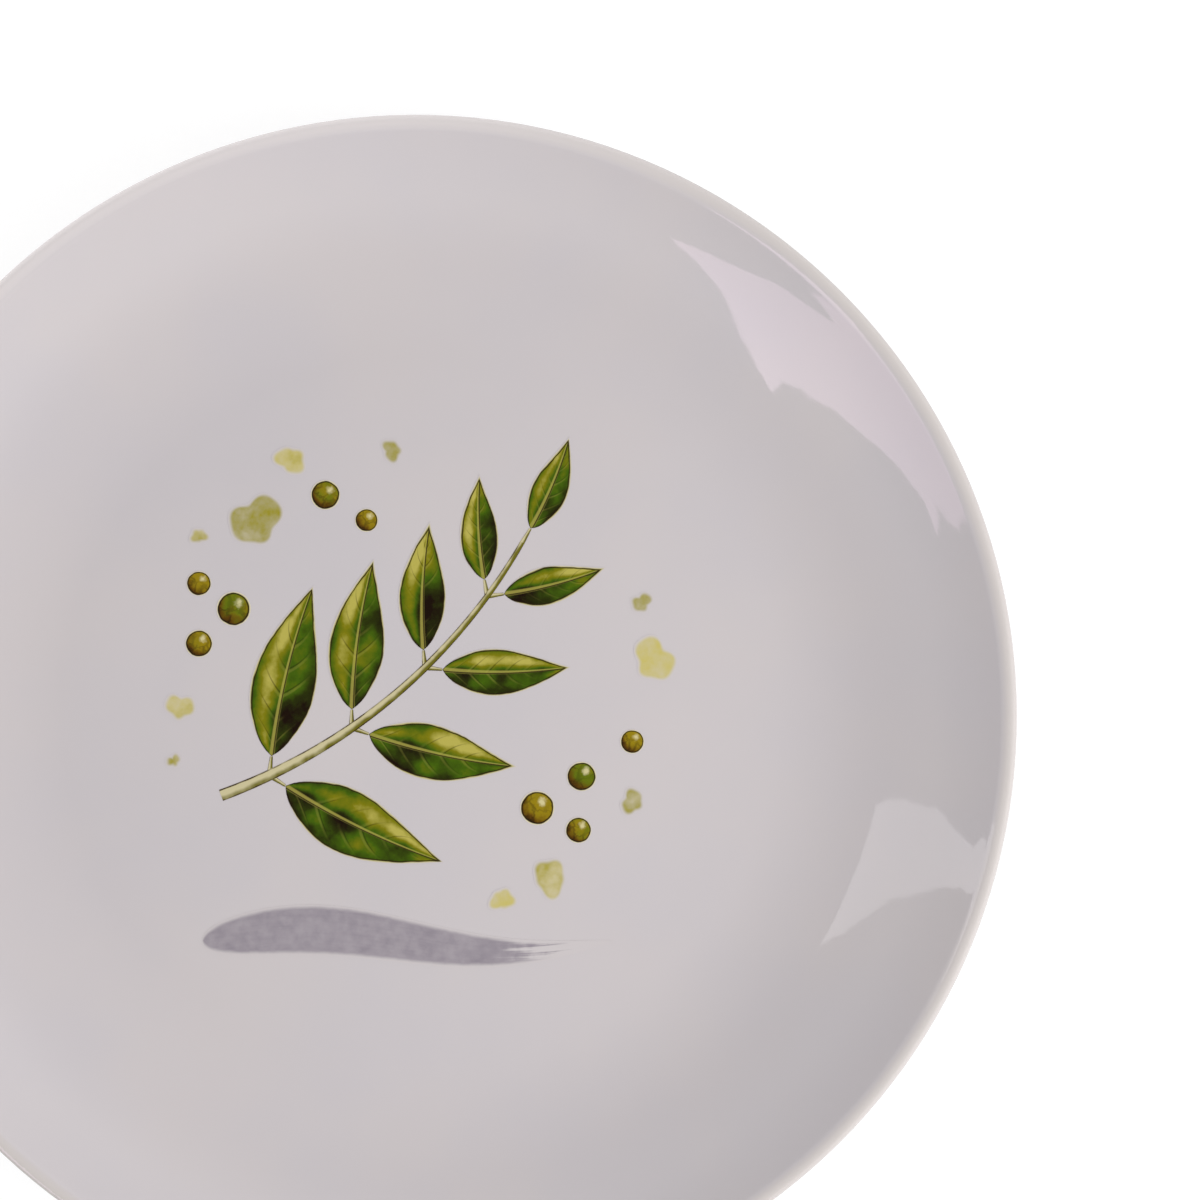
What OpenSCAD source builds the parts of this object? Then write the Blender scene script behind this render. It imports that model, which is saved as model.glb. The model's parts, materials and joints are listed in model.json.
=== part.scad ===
// Antipasti plate: a round coupe plate of glazed porcelain with a printed herb sprig.
// A flat centre runs into a wall that curves up to a rounded lip, and a foot ring carries it.
// The fired body, the two glaze skins and each patch of the print are separate pieces.
// Millimetres, +Z up, origin at the centre of the plane that the foot stands on, +Y to the print's top.

/* [Plate] */
// Diameter over the lip
plate_d = 200; // [170:1:260]
// Height from the table to the top of the lip
plate_h = 23; // [17:0.5:34]
// Diameter of the flat centre
well_d = 122; // [112:1:150]
// Thickness of the glazed floor
base_t = 3.8; // [2.8:0.1:6]
// Thickness of the glazed wall at the lip
lip_t = 2.2; // [1.8:0.1:4]
// Radius that eases the face of the wall over into the lip
lip_ease = 2.5; // [2:0.1:6]

/* [Foot ring] */
// Diameter of the foot ring at the middle of its width
foot_d = 110; // [80:1:114]
// Height of the foot ring under the floor
foot_h = 3; // [1.8:0.1:5]
// Width of the foot where it stands on the table
foot_w = 3.4; // [2:0.1:5]
// Lean of the foot's two sides, in degrees
foot_draft = 15; // [0:1:30]
// Chamfer that breaks the foot's two edges
foot_edge = 0.4; // [0.1:0.1:0.6]
// Radius of the fillet where the bare foot grows out of the floor
foot_fillet = 1.2; // [0.7:0.1:2]

/* [Glaze] */
// Thickness of the glaze
glaze_t = 0.3; // [0.1:0.05:0.6]
// Height of the bare band that is wiped clean above the table
bare_h = 1; // [0.7:0.1:1.6]

/* [Print] */
// Thickness of the fired colour
print_t = 0.05; // [0.02:0.01:0.2]
// Bare margin between the print and the edge of the flat centre
print_margin = 7; // [3:0.5:20]
// Gap that parts one printed patch from the next
print_gap = 0.3; // [0.1:0.05:0.8]
// Pairs of leaves on the sprig
leaf_pairs = 4; // [2:1:5]
// Length of the lowest leaves
leaf_len = 30; // [22:0.5:36]
// Clear width between the lowest leaves, square to them
leaf_gap = 1.6; // [1.2:0.1:4]
// Length of the leaf at the tip of the sprig
tip_leaf_len = 17; // [12:0.5:22]
// Width of the leaf at the tip of the sprig
tip_leaf_w = 7; // [4:0.2:9]
// Width of the stem at its foot
stem_w = 2; // [1.2:0.1:2.6]
// Length of the stalk between the stem and a leaf
stalk_len = 2.4; // [1.5:0.1:4]
// Width of that stalk
stalk_w = 0.8; // [0.4:0.1:1.2]
// Diameter of the largest peppercorn
peppercorn_d = 6; // [4:0.2:7.2]
// Diameter of the largest blot of wash
wash_d = 8.8; // [6:0.2:10.4]
// Length of the brush stroke under the sprig
stroke_len = 70; // [40:1:84]
// Greatest width of the brush stroke
stroke_w = 8.6; // [4:0.2:11]

/* [Hidden] */
$fn = 96;
plate_r = plate_d / 2;
well_r = well_d / 2;
foot_r = foot_d / 2;
lip_r = lip_t / 2;
under_z = foot_h;
face_z = under_z + base_t;

function along(a) = [cos(a), sin(a)];
function across(a) = [-sin(a), cos(a)];
function angle_to(from, to) = atan2(to.y - from.y, to.x - from.x);
// Points along an arc, without its first one, which ends what comes before it in the outline.
function arc(at, r, from, to, steps) = [for (k = [1 : steps]) at + r * along(from + (to - from) * k / steps)];

// The lip's round, and the softer round that eases the face over to its crest.
// Two arcs leave the flats at the edge of the centre and run into them.
wall_steps = 20;
ease_steps = 8;
lip_steps = 14;
lip_at = [plate_r - lip_r, plate_h - lip_r];
ease_at = [lip_at.x, plate_h - lip_ease];
wall_run = lip_at.x - well_r;
face_rise = ease_at.y - face_z;
under_rise = lip_at.y - under_z;
face_arc_r = (pow(wall_run, 2) + pow(face_rise, 2) - pow(lip_ease, 2)) / (2 * (face_rise + lip_ease));
under_arc_r = (pow(wall_run, 2) + pow(under_rise, 2) - pow(lip_r, 2)) / (2 * (under_rise - lip_r));
face_arc_at = [well_r, face_z + face_arc_r];
under_arc_at = [well_r, under_z + under_arc_r];
face_end = angle_to(face_arc_at, ease_at);
under_end = angle_to(under_arc_at, lip_at);

// The foot's half width grows by the draft with the height above the table, up to a fillet at its root.
fillet_steps = 8;
function foot_half(z) = foot_w / 2 + z * tan(foot_draft);
foot_root_z = under_z + base_t / 2;
fillet_z = under_z + glaze_t - foot_fillet;
fillet_at = [foot_half(fillet_z) + foot_fillet / cos(foot_draft), fillet_z];
// Half of the foot's outline above its edge, grown by the thickness of what covers it.
function foot_side(z, cover) = concat(
    [[foot_half(z) + cover / cos(foot_draft), z]],
    [for (k = [0 : fillet_steps])
        fillet_at + (foot_fillet - cover) * along(180 - foot_draft - (90 - foot_draft) * k / fillet_steps)],
    [[fillet_at.x, foot_root_z]]
);
function mirrored(points) = [for (k = [len(points) - 1 : -1 : 0]) [-points[k].x, points[k].y]];

// The print is drawn in a circle of this radius, and fits the flat centre inside its bare margin.
// Places in the drawing are shares of that radius.
drawn_r = 54;
print_k = (well_r - print_margin) / drawn_r;

// The sprig's stem is an arc that turns as it climbs. With its tip leaf it spans the drawn circle.
stem_foot = drawn_r * [-0.63, -0.26];
stem_heading = 20;
stem_turn = 40;
sprig_way = along(stem_heading + stem_turn / 2);
foot_back = stem_foot * sprig_way;
sprig_span = sqrt(pow(foot_back, 2) + pow(drawn_r, 2) - stem_foot * stem_foot) - foot_back;
stem_len = sprig_span - tip_leaf_len - stalk_len;
stem_arc_r = stem_len / (stem_turn * PI / 180);
stem_steps = 24;
stem_taper = 0.6;
function heading(t) = stem_heading + stem_turn * t;
function stem_at(t) = stem_foot + stem_arc_r * [
    sin(heading(t)) - sin(stem_heading),
    cos(stem_heading) - cos(heading(t))
];
function stem_half(t) = stem_w / 2 * (1 - stem_taper * t);

// Leaves stand in pairs along the stem, and grow smaller and closer to it towards the tip.
// Their width is what the pitch of the pairs leaves between them.
first_pair = 0.13;
last_pair = 0.84;
last_size = 0.6;
first_spread = 58;
last_spread = 46;
pair_pitch = stem_len * (last_pair - first_pair) / (leaf_pairs - 1);
leaf_w = pair_pitch * sin(first_spread) - leaf_gap;
leaf_bend = 14;
leaf_steps = 28;
leaf_count = 2 * leaf_pairs + 1;
function is_tip(i) = i == leaf_count;
function side_of(i) = is_tip(i) ? 0 : (i % 2 == 1 ? 1 : -1);
function climb_of(i) = floor((i - 1) / 2) / (leaf_pairs - 1);
function between(low, high, share) = low + (high - low) * share;
function station(i) = is_tip(i) ? 1 : between(first_pair, last_pair, climb_of(i));
function size_of(i) = between(1, last_size, climb_of(i));
function length_of(i) = is_tip(i) ? tip_leaf_len : leaf_len * size_of(i);
function width_of(i) = is_tip(i) ? tip_leaf_w : leaf_w * size_of(i);
function direction(i) = heading(station(i)) + side_of(i) * between(first_spread, last_spread, climb_of(i));

// A leaf's midrib is an arc that bends towards the tip of the sprig, and its half width swells and narrows.
function bend_of(i) = is_tip(i) ? leaf_bend : -side_of(i) * leaf_bend;
function leaf_foot(i) = stem_at(station(i)) + (stem_half(station(i)) + stalk_len) * along(direction(i));
function leaf_half(u) = sin(180 * pow(u, 0.8)) * (1 - 0.18 * u);
function rib_at(i, u) = leaf_foot(i) + length_of(i) * u * along(direction(i) + bend_of(i) * u / 2);
function leaf_edge(i, u, side) =
    rib_at(i, u) + side * width_of(i) / 2 * leaf_half(u) * across(direction(i) + bend_of(i) * u);

// Round peppercorns: place of each, and its share of the largest one's size.
peppercorns = [
    [-0.70, 0.22, 0.8], [-0.59, 0.33, 1], [-0.70, 0.41, 0.72],
    [0.37, -0.30, 1], [0.51, -0.20, 0.86], [0.50, -0.37, 0.76], [0.67, -0.09, 0.7],
    [-0.30, 0.69, 0.86], [-0.17, 0.61, 0.68]
];
function place(spot) = drawn_r * [spot.x, spot.y];

// Blots of thin wash: place, share of the largest one's size, and the phase of the waves round its edge.
wash_spots = [
    [-0.52, 0.61, 1, 20], [-0.41, 0.80, 0.6, 140], [-0.70, 0.56, 0.36, 75], [-0.09, 0.83, 0.44, 230],
    [0.74, 0.17, 0.84, 200], [0.70, 0.35, 0.42, 15], [0.67, -0.28, 0.5, 310],
    [0.26, -0.59, 0.5, 60], [0.41, -0.52, 0.72, 250], [-0.76, 0.02, 0.56, 110], [-0.78, -0.15, 0.3, 30]
];
wash_steps = 40;
wash_waves = [2, 3, 5];
wash_depths = [0.14, 0.09, 0.06];
function wash_swell(a, phase) = 1
    + wash_depths[0] * sin(wash_waves[0] * a + phase)
    + wash_depths[1] * sin(wash_waves[1] * a - 3 * phase)
    + wash_depths[2] * sin(wash_waves[2] * a + 2 * phase);
function wash_edge(spot, a) = place(spot) + spot[2] * wash_d / 2 * wash_swell(a, spot[3]) * along(a);

// The brush stroke swells fast from its blunt start, waves once and runs out to a thin tail.
stroke_at = drawn_r * [-0.04, -0.72];
stroke_wave = 1.9;
stroke_steps = 48;
function stroke_way(k) = (1 - cos(180 * k / stroke_steps)) / 2;
function stroke_half(t) = stroke_w / 2 * pow(sin(180 * pow(t, 0.55)), 0.75);
function stroke_edge(k, side) = stroke_at + [
    stroke_len * (stroke_way(k) - 0.5),
    stroke_wave * sin(360 * stroke_way(k)) + side * stroke_half(stroke_way(k))
];

leaf_names = [for (i = [1 : leaf_count]) str("leaf_", i)];

// Section of the floor, wall and lip, taken in by a depth under the glazed surface.
module dish_section(depth) {
    polygon(concat(
        [[0, under_z + depth], [well_r, under_z + depth]],
        arc(under_arc_at, under_arc_r - depth, -90, under_end, wall_steps),
        arc(lip_at, lip_r - depth, under_end, 90, lip_steps),
        arc(ease_at, lip_ease - depth, 90, face_end + 180, ease_steps),
        arc(face_arc_at, face_arc_r + depth, face_end, -90, wall_steps),
        [[0, face_z - depth]]
    ));
}

// Section of the bare foot, rooted in the floor.
module foot_section() {
    side = concat([[foot_half(0) - foot_edge, 0]], foot_side(foot_edge, 0));
    translate([foot_r, 0]) polygon(concat(side, mirrored(side)));
}

// Section of the foot with glaze on its sides, above the bare band.
module glazed_foot_section() {
    side = foot_side(bare_h, glaze_t);
    translate([foot_r, 0]) polygon(concat(side, mirrored(side)));
}

module body_section() {
    dish_section(glaze_t);
    foot_section();
}

module glaze_section() {
    difference() {
        union() {
            dish_section(0);
            glazed_foot_section();
        }
        body_section();
    }
}

// The space under the floor inside the middle of the foot ring.
module foot_well_section() {
    square([foot_r, foot_root_z]);
}

module porcelain_body() {
    color("white") rotate_extrude() body_section();
}

// One skin over the face, the lip, the underside and the foot's outer side.
module glaze_coat() {
    color("gainsboro") rotate_extrude() difference() {
        glaze_section();
        foot_well_section();
    }
}

// The skin in the recess under the plate, which the bare foot parts from the rest.
module foot_well_glaze() {
    color("gainsboro") rotate_extrude() intersection() {
        glaze_section();
        foot_well_section();
    }
}

// A flat patch of fired colour on the glazed face, from an outline in the print's own drawing.
module printed(outline) {
    translate([0, 0, face_z]) linear_extrude(print_t) polygon([for (p = outline) print_k * p]);
}

module stem_print() {
    sides = [for (side = [1, -1]) [
        for (k = [0 : stem_steps]) let (t = k / stem_steps)
            stem_at(t) + side * stem_half(t) * across(heading(t))
    ]];
    color("darkolivegreen") {
        printed(concat(sides[0], [for (k = [stem_steps : -1 : 0]) sides[1][k]]));
        for (i = [1 : leaf_count]) stalk(i);
    }
}

// A stalk runs from the middle of the stem to just short of its leaf.
module stalk(i) {
    from = stem_at(station(i));
    to = leaf_foot(i) - print_gap * along(direction(i));
    half = stalk_w / 2 * across(direction(i));
    printed([from + half, from - half, to - half, to + half]);
}

module leaf(i) {
    left = [for (k = [0 : leaf_steps]) leaf_edge(i, k / leaf_steps, 1)];
    right = [for (k = [leaf_steps - 1 : -1 : 1]) leaf_edge(i, k / leaf_steps, -1)];
    color(is_tip(i) ? "olivedrab" : "forestgreen") printed(concat(left, right));
}

module peppercorn_print() {
    color("darkgoldenrod") for (p = peppercorns)
        translate([0, 0, face_z]) translate(print_k * place(p))
            cylinder(h = print_t, d = print_k * peppercorn_d * p[2]);
}

module wash_print() {
    color("khaki") for (spot = wash_spots)
        printed([for (k = [0 : wash_steps - 1]) wash_edge(spot, 360 * k / wash_steps)]);
}

module brush_stroke() {
    upper = [for (k = [0 : stroke_steps]) stroke_edge(k, 1)];
    lower = [for (k = [stroke_steps - 1 : -1 : 1]) stroke_edge(k, -1)];
    color("slategray") printed(concat(upper, lower));
}

porcelain_body();
glaze_coat();
foot_well_glaze();
stem_print();
for (i = [1 : leaf_count]) leaf(i);
peppercorn_print();
wash_print();
brush_stroke();
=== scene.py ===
"""Looks of an antipasti plate: glazed porcelain, a bare foot and a printed herb sprig.

Every piece is built in metres on the frame's own axes: +Z up, +Y to the top of the print, and the
origin at the centre of the plane that the foot stands on.
"""

import json
import logging
import math
from collections.abc import Callable, Iterable, Sequence
from dataclasses import dataclass
from enum import Enum
from functools import partial

import bpy
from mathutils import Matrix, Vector

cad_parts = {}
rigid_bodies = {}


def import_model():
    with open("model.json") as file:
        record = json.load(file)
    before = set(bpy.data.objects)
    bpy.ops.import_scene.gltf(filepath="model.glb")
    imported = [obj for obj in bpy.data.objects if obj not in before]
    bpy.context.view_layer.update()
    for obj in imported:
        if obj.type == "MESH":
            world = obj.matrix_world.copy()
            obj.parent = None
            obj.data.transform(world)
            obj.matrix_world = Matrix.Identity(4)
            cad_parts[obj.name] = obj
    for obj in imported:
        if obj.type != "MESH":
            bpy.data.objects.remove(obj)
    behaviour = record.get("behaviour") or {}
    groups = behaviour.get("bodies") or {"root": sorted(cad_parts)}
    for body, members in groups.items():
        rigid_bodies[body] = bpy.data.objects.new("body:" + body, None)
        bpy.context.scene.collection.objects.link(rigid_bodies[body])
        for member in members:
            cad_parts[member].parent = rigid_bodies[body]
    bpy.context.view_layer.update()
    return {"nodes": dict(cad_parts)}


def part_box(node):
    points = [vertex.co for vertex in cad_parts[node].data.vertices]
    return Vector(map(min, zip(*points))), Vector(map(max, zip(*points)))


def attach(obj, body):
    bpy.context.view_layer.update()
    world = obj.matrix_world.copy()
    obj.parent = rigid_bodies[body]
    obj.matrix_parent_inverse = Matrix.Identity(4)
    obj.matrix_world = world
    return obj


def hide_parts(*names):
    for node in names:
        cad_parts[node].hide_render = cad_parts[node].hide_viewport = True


Colour = tuple[float, float, float, float]
Material = bpy.types.Material
Node = bpy.types.Node
Piece = bpy.types.Object
Socket = bpy.types.NodeSocket
Spots = Sequence[Sequence[float]]

log = logging.getLogger("antipasti_plate")
ROOT_BODY = "root"
TINY = 1e-6
PRINT_ROUGH = 0.08
PRINT_ROUGH_SPREAD = 0.1
PRINT_MIRROR = 0.4


class Slot(Enum):
    """The record's material slots."""

    PORCELAIN = "porcelain"
    GLAZE = "glaze"
    LEAF = "leaf_colour"
    STEM = "stem_colour"
    PEPPERCORN = "peppercorn_colour"
    WASH = "wash_colour"
    STROKE = "stroke_colour"


class Mark(Enum):
    """Values kept on a mesh's points for its finish to read."""

    RUN = "run"
    RIB = "rib"
    EDGE = "edge"
    EAST = "east"
    NORTH = "north"
    HUE = "hue"
    # Share to which the glaze is drawn thin; the glaze's finish also uses it to place its painted light
    # on the upper-left side.
    THIN_AND_PAINTED_LIGHT = "thin"


class Axis(Enum):
    """The frame's axes."""

    EAST = "X"
    NORTH = "Y"
    UP = "Z"


class FootSide(Enum):
    """The two sides of the foot ring, with the way that each looks from its middle."""

    OUTER = 1
    INNER = -1


class Level(Enum):
    """The two faces of a printed patch."""

    TOP = 0
    BASE = 1


def srgb(red: int, green: int, blue: int) -> Colour:
    """Turns a colour of 8-bit sRGB parts into a linear one.

    Args:
        red: Red part, 0 to 255.
        green: Green part, 0 to 255.
        blue: Blue part, 0 to 255.

    Returns:
        The linear colour, opaque.
    """
    shares = (part / 255 for part in (red, green, blue))
    lines = (s / 12.92 if s <= 0.04045 else ((s + 0.055) / 1.055) ** 2.4 for s in shares)
    return (*lines, 1.0)


def along(angle: float) -> Vector:
    """Unit vector of the plane at an angle in radians."""
    return Vector((math.cos(angle), math.sin(angle)))


def across(angle: float) -> Vector:
    """Unit vector of the plane a quarter turn left of an angle in radians."""
    return Vector((-math.sin(angle), math.cos(angle)))


def toward(azimuth: float, lift: float) -> Vector:
    """Unit vector of space at an azimuth and a lift above the table, both in radians."""
    flat = math.cos(lift) * along(azimuth)
    return Vector((flat.x, flat.y, math.sin(lift)))


def between(low: float, high: float, share: float) -> float:
    """Value at a share of the way from one number to another."""
    return low + (high - low) * share


def arc(at: Vector, radius: float, start: float, end: float, steps: int) -> list[Vector]:
    """Makes the points along an arc, with both its ends.

    Args:
        at: Centre of the arc.
        radius: Radius of the arc.
        start: Angle of the first point, in radians.
        end: Angle of the last point, in radians.
        steps: Number of chords.

    Returns:
        The points in order.
    """
    return [at + radius * along(between(start, end, k / steps)) for k in range(steps + 1)]


class Field:
    """A value that varies over a surface, held by a node's socket, for use in plain sums."""

    def __init__(self, sheet: "NodeSheet", socket: Socket) -> None:
        """Wraps a socket of a sheet's nodes.

        Args:
            sheet: Sheet that the socket's node belongs to.
            socket: Output socket that gives the value.
        """
        self.sheet = sheet
        self.socket = socket

    def __add__(self, other: "Field | float") -> "Field":
        """Sum of two values."""
        return self.sheet.math("ADD", self, other)

    def __radd__(self, other: float) -> "Field":
        """Sum of a constant and this value."""
        return self.sheet.math("ADD", other, self)

    def __sub__(self, other: "Field | float") -> "Field":
        """Difference of two values."""
        return self.sheet.math("SUBTRACT", self, other)

    def __rsub__(self, other: float) -> "Field":
        """Difference of a constant and this value."""
        return self.sheet.math("SUBTRACT", other, self)

    def __mul__(self, other: "Field | float") -> "Field":
        """Product of two values."""
        return self.sheet.math("MULTIPLY", self, other)

    def __rmul__(self, other: float) -> "Field":
        """Product of a constant and this value."""
        return self.sheet.math("MULTIPLY", other, self)

    def __truediv__(self, other: "Field | float") -> "Field":
        """Quotient of two values."""
        return self.sheet.math("DIVIDE", self, other)

    def size(self) -> "Field":
        """Value without its sign."""
        return self.sheet.math("ABSOLUTE", self)

    def root(self) -> "Field":
        """Square root of the value, or nothing below zero."""
        return self.sheet.math("SQRT", self.sheet.math("MAXIMUM", self, 0.0))

    def fraction(self) -> "Field":
        """Part of the value after the point."""
        return self.sheet.math("FRACT", self)

    def rise(self, start: "Field | float", end: "Field | float") -> "Field":
        """Steps smoothly from 0 to 1.

        Args:
            start: Value at which the step begins.
            end: Value at which it is done.

        Returns:
            The step.
        """
        inputs = {"Value": self, "From Min": start, "From Max": end}
        node = self.sheet.node("ShaderNodeMapRange", inputs, interpolation_type="SMOOTHSTEP")
        return Field(self.sheet, node.outputs[0])

    def fall(self, start: "Field | float", end: "Field | float") -> "Field":
        """Smooth step from 1 to 0 as the value goes from start to end."""
        return 1.0 - self.rise(start, end)


Value = Field | float
Paint = Field | Colour


class NodeSheet:
    """The nodes of a material or of the world, with a short call for each kind that is used."""

    def __init__(self, owner: Material | bpy.types.World) -> None:
        """Starts on the nodes that a new material or world holds.

        Args:
            owner: The material or world.
        """
        owner.use_nodes = True
        self.owner = owner
        self.tree = owner.node_tree

    @property
    def shader(self) -> Node:
        """A material's own shader."""
        return self.tree.nodes["Principled BSDF"]

    def put(self, socket: Socket, value: Value | Paint) -> None:
        """Links an input to a varying value, or sets it to a constant.

        Args:
            socket: Input socket.
            value: Field to link it to, or its constant.
        """
        if isinstance(value, Field):
            self.tree.links.new(value.socket, socket)
        else:
            socket.default_value = value

    def node(self, kind: str, inputs: dict[str | int, Value | Paint], **settings: str) -> Node:
        """Adds a node and fills its inputs.

        Args:
            kind: Blender's name for the kind of node.
            inputs: Value of each input that is set, by name or place.
            settings: The node's own options.

        Returns:
            The new node.
        """
        made = self.tree.nodes.new(kind)
        for option, choice in settings.items():
            setattr(made, option, choice)
        for key, value in inputs.items():
            self.put(made.inputs[key], value)
        return made

    def math(self, operation: str, first: Value, second: Value = 0.0) -> Field:
        """Adds a sum of one or two values.

        Args:
            operation: Blender's name for the sum.
            first: First value.
            second: Second value, where the sum has one.

        Returns:
            The result.
        """
        made = self.node("ShaderNodeMath", {0: first, 1: second}, operation=operation)
        return Field(self, made.outputs[0])

    def place(self) -> Field:
        """Place on the piece, in metres."""
        return Field(self, self.node("ShaderNodeTexCoord", {}).outputs["Object"])

    def mark(self, mark: Mark) -> Field:
        """Value kept on the mesh's points under a mark's name."""
        made = self.node("ShaderNodeAttribute", {}, attribute_name=mark.value)
        return Field(self, made.outputs["Fac"])

    def marks(self, *marks: Mark) -> list[Field]:
        """Values kept on the mesh's points under several marks' names."""
        return [self.mark(mark) for mark in marks]

    def part(self, vector: Field, axis: Axis) -> Field:
        """Part of a place or a direction along an axis."""
        return Field(self, self.node("ShaderNodeSeparateXYZ", {0: vector}).outputs[axis.value])

    def spot(self, x: Value, y: Value, z: Value = 0.0) -> Field:
        """Vector made of three values."""
        return Field(self, self.node("ShaderNodeCombineXYZ", {0: x, 1: y, 2: z}).outputs[0])

    def noise(self, at: Field, grain: float, detail: float = 2.0, seed: float = 0.0) -> Field:
        """Adds a soft random pattern.

        Args:
            at: Place in the pattern.
            grain: Width of its patches, in the units of the place.
            detail: How many finer patterns are laid over it.
            seed: Which pattern it is.

        Returns:
            The pattern, about 0.25 to 0.75 and 0.5 on average.
        """
        inputs = {"Vector": at, "W": seed, "Scale": 1 / grain, "Detail": detail}
        made = self.node("ShaderNodeTexNoise", inputs, noise_dimensions="4D")
        return Field(self, made.outputs[0])

    def cells(self, at: Field, grain: float) -> Field:
        """Adds a pattern of random cells.

        Args:
            at: Place in the pattern.
            grain: Width of the cells, in the units of the place.

        Returns:
            Distance to the nearest border between cells, in shares of that width.
        """
        inputs = {"Vector": at, "Scale": 1 / grain}
        made = self.node("ShaderNodeTexVoronoi", inputs, feature="DISTANCE_TO_EDGE")
        return Field(self, made.outputs["Distance"])

    def blend(self, share: Value, first: Paint, second: Paint) -> Field:
        """Mixes two colours.

        Args:
            share: Share of the second colour.
            first: First colour.
            second: Second colour.

        Returns:
            The mixed colour.
        """
        made = self.node("ShaderNodeMix", {0: share, 6: first, 7: second}, data_type="RGBA")
        return Field(self, made.outputs[2])

    def ramp(self, value: Field, stops: Sequence[tuple[float, Colour]]) -> Field:
        """Colours a value by stops.

        Args:
            value: Value from 0 to 1.
            stops: Place and colour of each stop, in order.

        Returns:
            The colour.
        """
        made = self.node("ShaderNodeValToRGB", {0: value})
        elements = made.color_ramp.elements
        while len(elements) < len(stops):
            elements.new(1.0)
        for element, (at, colour) in zip(elements, stops):
            element.position = at
            element.color = colour
        return Field(self, made.outputs[0])

    def rays(self) -> tuple[Field, Field]:
        """Tells the kinds of ray that show the background apart.

        Returns:
            1 for a ray from the camera or through glass, and 1 for a reflection, else 0.
        """
        path = self.node("ShaderNodeLightPath", {})
        names = ("Is Camera Ray", "Is Transmission Ray", "Is Glossy Ray")
        camera, through, mirrored = (Field(self, path.outputs[name]) for name in names)
        return self.math("MAXIMUM", camera, through), mirrored

    def finish(self, colour: Paint, roughness: Value, mirror: float = 0.5) -> None:
        """Sets the shader's colour, roughness and mirror.

        Args:
            colour: Colour all over the surface.
            roughness: Roughness of the surface.
            mirror: How strongly the surface reflects, 0.5 for glass.
        """
        self.put(self.shader.inputs["Base Color"], colour)
        self.put(self.shader.inputs["Roughness"], roughness)
        self.put(self.shader.inputs["Specular IOR Level"], mirror)

    def finish_print(self, colour: Paint, grain: Field) -> None:
        """Sets the colour and roughness of thick fired colour, which is duller than the glaze.

        Args:
            colour: Colour all over the surface.
            grain: Pattern that roughens it.
        """
        self.finish(colour, PRINT_ROUGH + PRINT_ROUGH_SPREAD * grain, PRINT_MIRROR)

    def emboss(self, height: Field, relief: float) -> None:
        """Gives the surface a fine relief.

        Args:
            height: Relief, from 0 to 1.
            relief: Depth of the relief, in metres.
        """
        bump = self.node("ShaderNodeBump", {"Height": height, "Distance": relief})
        self.put(self.shader.inputs["Normal"], Field(self, bump.outputs[0]))


class Finish:
    """A finish that paints the nodes of a material of its own."""

    name: str

    def material(self) -> Material:
        """Makes the finish's material.

        Returns:
            The material.
        """
        sheet = NodeSheet(bpy.data.materials.new(self.name))
        self.paint(sheet)
        return sheet.owner

    def paint(self, sheet: NodeSheet) -> None:
        """Paints the finish.

        Args:
            sheet: The material's nodes.
        """
        raise NotImplementedError


@dataclass(frozen=True)
class GlazeFinish(Finish):
    """White glaze: a faint mottle, and slow waves that bend a highlight.

    Its edges are drawn thin and warm; towards the upper left they turn a lighter white, a painted
    highlight that stands in for light falling on that side.
    """

    name: str = "white_glaze"
    white: Colour = srgb(210, 203, 204)
    cool: Colour = srgb(207, 201, 204)
    thin: Colour = srgb(211, 204, 201)
    # Painted light: the lighter white that the thin edges take towards the upper left, reached between
    # the two values of north minus east below.
    painted_light_white: Colour = srgb(228, 221, 221)
    painted_light_start: float = 0.0
    painted_light_end: float = 0.13
    mottle_w: float = 0.03
    rough: float = 0.02
    rough_spread: float = 0.04
    rough_w: float = 0.008
    wave_w: float = 0.019
    ripple_w: float = 0.0032
    ripple_share: float = 0.04
    relief: float = 0.0002

    def paint(self, sheet: NodeSheet) -> None:
        """Paints the glaze.

        Args:
            sheet: The material's nodes.
        """
        place = sheet.place()
        mottle = sheet.noise(place, self.mottle_w).rise(0.3, 0.7)
        colour = sheet.blend(mottle, self.white, self.cool)
        # Painted light: along the lip and the foot's glaze edge, the warm thin tint turns to a lighter
        # white towards the upper left (+Y, -X), as if lit from that side.
        side = sheet.part(place, Axis.NORTH) - sheet.part(place, Axis.EAST)
        thin_tint_and_painted_light = sheet.blend(side.rise(self.painted_light_start, self.painted_light_end), self.thin, self.painted_light_white)
        colour = sheet.blend(sheet.mark(Mark.THIN_AND_PAINTED_LIGHT), colour, thin_tint_and_painted_light)
        rough = self.rough + self.rough_spread * sheet.noise(place, self.rough_w)
        ripples = sheet.noise(place, self.ripple_w, 1.0)
        waves = sheet.noise(place, self.wave_w, 1.0) + self.ripple_share * ripples
        sheet.finish(colour, rough)
        sheet.emboss(waves, self.relief)


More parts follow.
